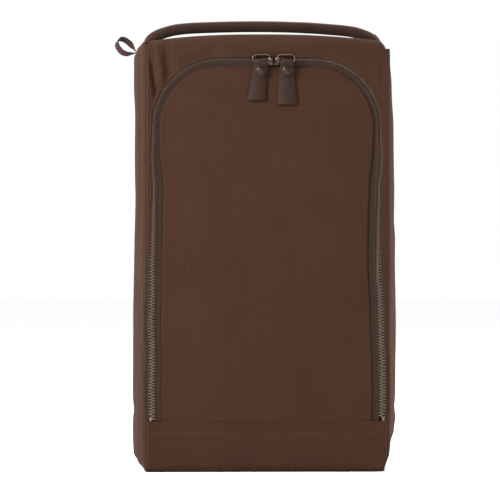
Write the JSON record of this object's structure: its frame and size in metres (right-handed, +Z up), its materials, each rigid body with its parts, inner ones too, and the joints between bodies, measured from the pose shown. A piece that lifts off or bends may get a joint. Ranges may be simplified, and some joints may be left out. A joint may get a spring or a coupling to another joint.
{
  "type": "golf shoe bag",
  "caption": "Upright canvas shoe bag with an arched two-way zip door, a rolled top handle, leather zip pulls and a ribbon hang loop.",
  "frame": {"origin": "middle of the base, on the surface the bag stands on", "axes": "+Z up, the zip door faces -Y, +X to the right seen from the front"},
  "size_m": [0.2372, 0.1338, 0.3841],
  "materials": {
    "canvas": "matte ribbed brown cotton canvas",
    "lining": "plain brown lining cloth",
    "board": "matte stiffener board",
    "binding": "dark woven binding tape",
    "zip_tape": "smooth woven zip tape",
    "antique_brass": "antique dark brass, worn bright on the edges",
    "leather": "dark brown waxed leather with pale cut edges",
    "rivet_metal": "brown bronzed rivet",
    "handle_canvas": "dark brown rolled canvas",
    "handle_filler": "twisted cotton filler cord",
    "ribbon": "burgundy ribbon with grey edge stripes"
  },
  "bodies": {
    "bag": {"back_panel": "canvas", "left_gusset": "canvas", "right_gusset": "canvas", "top_panel": "canvas", "bottom_panel": "canvas", "front_yoke": "canvas", "front_band": "canvas", "back_lining": "lining", "left_lining": "lining", "right_lining": "lining", "top_lining": "lining", "band_lining": "lining", "base_cover": "lining", "base_board": "board", "front_seam_binding": "binding", "back_seam_binding": "binding", "zipper_outer_tape": "zip_tape", "zipper_outer_teeth": "antique_brass", "zipper_end_stops": "antique_brass", "handle_tab_left": "handle_canvas", "handle_tab_right": "handle_canvas"},
    "door": {"door_panel": "canvas", "door_lining": "lining", "zipper_inner_tape": "zip_tape", "zipper_inner_teeth": "antique_brass"},
    "slider_left": {"slider_left_body": "antique_brass", "slider_left_crown": "antique_brass", "slider_left_pawl": "antique_brass"},
    "ring_left": {"ring_left": "antique_brass"},
    "pull_left": {"pull_left": "leather", "rivet_left_cap": "rivet_metal", "rivet_left_base": "rivet_metal"},
    "slider_right": {"slider_right_body": "antique_brass", "slider_right_crown": "antique_brass", "slider_right_pawl": "antique_brass"},
    "ring_right": {"ring_right": "antique_brass"},
    "pull_right": {"pull_right": "leather", "rivet_right_cap": "rivet_metal", "rivet_right_base": "rivet_metal"},
    "handle": {"handle_cover": "handle_canvas", "handle_core": "handle_filler"},
    "hang_loop": {"hang_loop": "ribbon"}
  },
  "joints": [
    {"name": "door_fold", "type": "hinge", "parent": "bag", "child": "door", "pos_m": [0, -0.0635, 0.0427], "axis": [1, 0, 0], "range_deg": [0, 95]},
    {"name": "slider_left_run", "type": "slide", "parent": "bag", "child": "slider_left", "axis": [-1, 0, 0], "range_m": [0, 0.028]},
    {"name": "slider_right_run", "type": "slide", "parent": "bag", "child": "slider_right", "axis": [1, 0, 0], "range_m": [0, 0.018]},
    {"name": "ring_left_flip", "type": "hinge", "parent": "slider_left", "child": "ring_left", "pos_m": [0.0025, -0.0675, 0.3476], "axis": [0, 0, 1], "range_deg": [0, 60]},
    {"name": "ring_right_flip", "type": "hinge", "parent": "slider_right", "child": "ring_right", "pos_m": [0.0085, -0.0675, 0.3476], "axis": [0, 0, -1], "range_deg": [0, 60]},
    {"name": "pull_left_swing", "type": "hinge", "parent": "ring_left", "child": "pull_left", "pos_m": [-0.0054, -0.0675, 0.3445], "axis": [-1, 0, 0], "range_deg": [0, 60]},
    {"name": "pull_right_swing", "type": "hinge", "parent": "ring_right", "child": "pull_right", "pos_m": [0.0164, -0.0675, 0.3445], "axis": [-1, 0, 0], "range_deg": [0, 60]},
    {"name": "handle_lean", "type": "hinge", "parent": "bag", "child": "handle", "pos_m": [0, 0, 0.3682], "axis": [1, 0, 0], "range_deg": [-50, 50]},
    {"name": "hang_loop_bend", "type": "hinge", "parent": "bag", "child": "hang_loop", "pos_m": [-0.1106, 0.012, 0.3573], "axis": [0, 1, 0], "range_deg": [-60, 20]}
  ]
}
